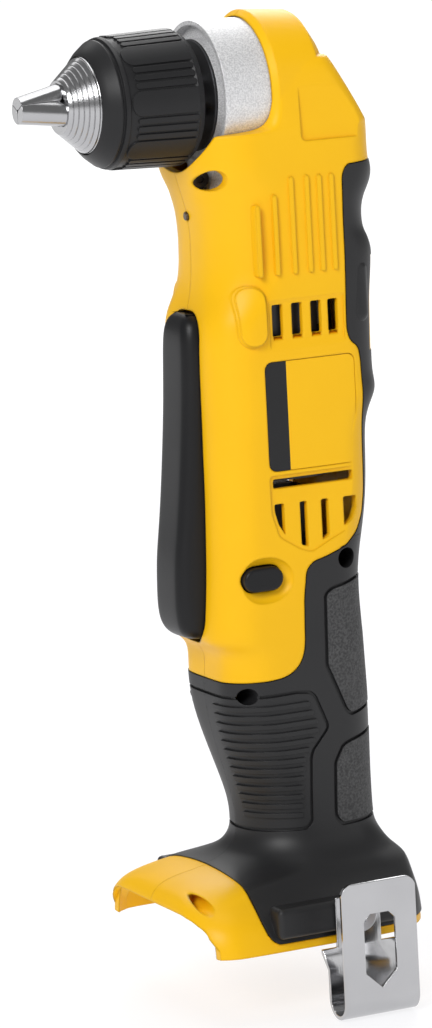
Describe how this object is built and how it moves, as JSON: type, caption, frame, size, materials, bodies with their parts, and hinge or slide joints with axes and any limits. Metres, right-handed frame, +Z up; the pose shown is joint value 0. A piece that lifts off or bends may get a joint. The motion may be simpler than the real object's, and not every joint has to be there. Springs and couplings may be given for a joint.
{
  "type": "right angle drill",
  "caption": "Cordless right angle drill with a keyless chuck on a side head, a long paddle trigger, a soft grip, a battery foot and a belt hook.",
  "frame": {"origin": "jaw tips on the spindle axis, jaws closed", "axes": "-X out of the chuck along the spindle, +Z up the handle to the head, -Y to the tool's left side"},
  "size_m": [0.0997, 0.0944, 0.2753],
  "materials": {
    "housing": "moulded, light grain",
    "overmould": "satin soft grip",
    "side_plate": "bare, no print",
    "control_plastic": "satin",
    "sleeve_plastic": "satin",
    "inner_plastic": "moulded",
    "fan_plastic": "moulded",
    "cast_alloy": "sand cast",
    "chuck_steel": "polished",
    "hook_steel": "satin",
    "machine_steel": "turned",
    "dark_steel": "blackened",
    "ferrite": "ground",
    "copper": "enamelled copper",
    "contact_brass": "plated",
    "lens": "clear moulded",
    "carbon": "matte"
  },
  "bodies": {
    "housing": {"left_shell": "housing", "right_shell": "housing", "left_grip": "overmould", "right_grip": "overmould", "spine_grip": "overmould", "left_plate": "side_plate", "right_plate": "side_plate", "housing_screws": "dark_steel", "terminal_block": "inner_plastic", "battery_contacts": "contact_brass", "belt_hook": "hook_steel", "hook_screw": "hook_steel", "hook_inserts": "contact_brass", "gear_case": "cast_alloy", "bearing_retainer": "machine_steel", "front_bearing": "machine_steel", "rear_bearing": "machine_steel", "pinion_bearing": "machine_steel", "ring_gear": "machine_steel", "mount_plate": "machine_steel", "motor_can": "machine_steel", "motor_magnets": "ferrite", "motor_cap": "inner_plastic", "motor_brushes": "carbon", "motor_bearings": "machine_steel", "switch_body": "inner_plastic", "trigger_pin": "machine_steel", "work_light": "lens"},
    "spindle": {"spindle": "machine_steel", "bevel_gear": "machine_steel", "chuck_body": "chuck_steel", "chuck_back": "dark_steel", "chuck_screw": "dark_steel"},
    "sleeve": {"chuck_sleeve": "sleeve_plastic", "chuck_nut": "machine_steel"},
    "jaw_1": {"jaw_1": "chuck_steel"},
    "jaw_2": {"jaw_2": "chuck_steel"},
    "jaw_3": {"jaw_3": "chuck_steel"},
    "carrier": {"planet_carrier": "machine_steel", "bevel_pinion": "machine_steel"},
    "planet_1": {"planet_1": "machine_steel"},
    "planet_2": {"planet_2": "machine_steel"},
    "planet_3": {"planet_3": "machine_steel"},
    "rotor": {"sun_gear": "machine_steel", "rotor_shaft": "machine_steel", "rotor_core": "machine_steel", "rotor_windings": "copper", "commutator": "copper", "cooling_fan": "fan_plastic"},
    "trigger": {"trigger": "control_plastic"},
    "plunger": {"switch_plunger": "inner_plastic"},
    "direction": {"direction_button": "control_plastic"}
  },
  "joints": [
    {"name": "spindle_spin", "type": "hinge", "parent": "housing", "child": "spindle", "pos_m": [0.06, 0, 0], "axis": [1, 0, 0], "continuous": true},
    {"name": "carrier_spin", "type": "hinge", "parent": "housing", "child": "carrier", "pos_m": [0.072, 0, -0.02], "axis": [0, 0, 1], "continuous": true},
    {"name": "rotor_spin", "type": "hinge", "parent": "housing", "child": "rotor", "pos_m": [0.072, 0, -0.07], "axis": [0, 0, 1], "continuous": true},
    {"name": "planet_1_spin", "type": "hinge", "parent": "carrier", "child": "planet_1", "pos_m": [0.08176, 0, -0.033], "axis": [0, 0, 1], "continuous": true},
    {"name": "planet_2_spin", "type": "hinge", "parent": "carrier", "child": "planet_2", "pos_m": [0.06712, 0.00845, -0.033], "axis": [0, 0, 1], "continuous": true},
    {"name": "planet_3_spin", "type": "hinge", "parent": "carrier", "child": "planet_3", "pos_m": [0.06712, -0.00845, -0.033], "axis": [0, 0, 1], "continuous": true},
    {"name": "sleeve_turn", "type": "hinge", "parent": "spindle", "child": "sleeve", "pos_m": [0.035, 0, 0], "axis": [1, 0, 0], "range_deg": [0, 3150]},
    {"name": "jaw_1_slide", "type": "slide", "parent": "spindle", "child": "jaw_1", "axis": [0.9744, 0, 0.225], "range_m": [0, 0.01954]},
    {"name": "jaw_2_slide", "type": "slide", "parent": "spindle", "child": "jaw_2", "axis": [0.9744, -0.1948, -0.1125], "range_m": [0, 0.01954]},
    {"name": "jaw_3_slide", "type": "slide", "parent": "spindle", "child": "jaw_3", "axis": [0.9744, 0.1948, -0.1125], "range_m": [0, 0.01954]},
    {"name": "trigger_press", "type": "hinge", "parent": "housing", "child": "trigger", "pos_m": [0.04844, 0, -0.06498], "axis": [0, -1, 0], "range_deg": [0, 7], "stiffness_Nm_per_rad": 1.5},
    {"name": "plunger_slide", "type": "slide", "parent": "housing", "child": "plunger", "axis": [1, 0, 0], "range_m": [0, 0.00694]},
    {"name": "direction_slide", "type": "slide", "parent": "housing", "child": "direction", "axis": [0, 1, 0], "range_m": [-0.0025, 0.0025]}
  ],
  "couplings": [
    {"joint": "carrier_spin", "follows": "spindle_spin", "ratio": -2},
    {"joint": "rotor_spin", "follows": "spindle_spin", "ratio": -10},
    {"joint": "planet_1_spin", "follows": "spindle_spin", "ratio": 5.3333},
    {"joint": "planet_2_spin", "follows": "spindle_spin", "ratio": 5.3333},
    {"joint": "planet_3_spin", "follows": "spindle_spin", "ratio": 5.3333},
    {"joint": "jaw_1_slide", "follows": "sleeve_turn", "m_per_rad": 0.00035368},
    {"joint": "jaw_2_slide", "follows": "sleeve_turn", "m_per_rad": 0.00035368},
    {"joint": "jaw_3_slide", "follows": "sleeve_turn", "m_per_rad": 0.00035368},
    {"joint": "plunger_slide", "follows": "trigger_press", "m_per_rad": 0.056015}
  ]
}
